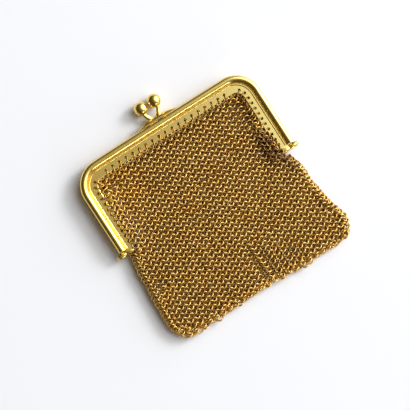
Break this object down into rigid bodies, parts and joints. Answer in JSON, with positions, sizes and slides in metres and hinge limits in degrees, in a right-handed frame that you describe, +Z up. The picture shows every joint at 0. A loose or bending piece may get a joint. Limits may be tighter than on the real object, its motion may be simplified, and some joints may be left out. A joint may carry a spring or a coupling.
{
  "type": "metal mesh purse",
  "caption": "Small gilt-brass coin purse of linked rings on a pierced half-round frame with a ball clasp, shut and lying flat.",
  "frame": {"origin": "centre of the bounding box in X and Y, at its lowest level, where the purse lies on a surface", "axes": "+X along the bar of the frame to the right, +Y from the bag towards the clasp, +Z up out of the surface, the front of the purse being up"},
  "size_m": [0.067, 0.0698, 0.0049],
  "materials": {
    "gilt_frame": "polished gilt brass with light handling wear",
    "gilt_mesh": "gilt brass wire rings, slightly darkened"
  },
  "bodies": {
    "root": {"frame_front": "gilt_frame", "frame_back": "gilt_frame", "hinge_pin_left": "gilt_frame", "hinge_pin_right": "gilt_frame", "mesh_bag": "gilt_mesh"}
  },
  "joints": []
}
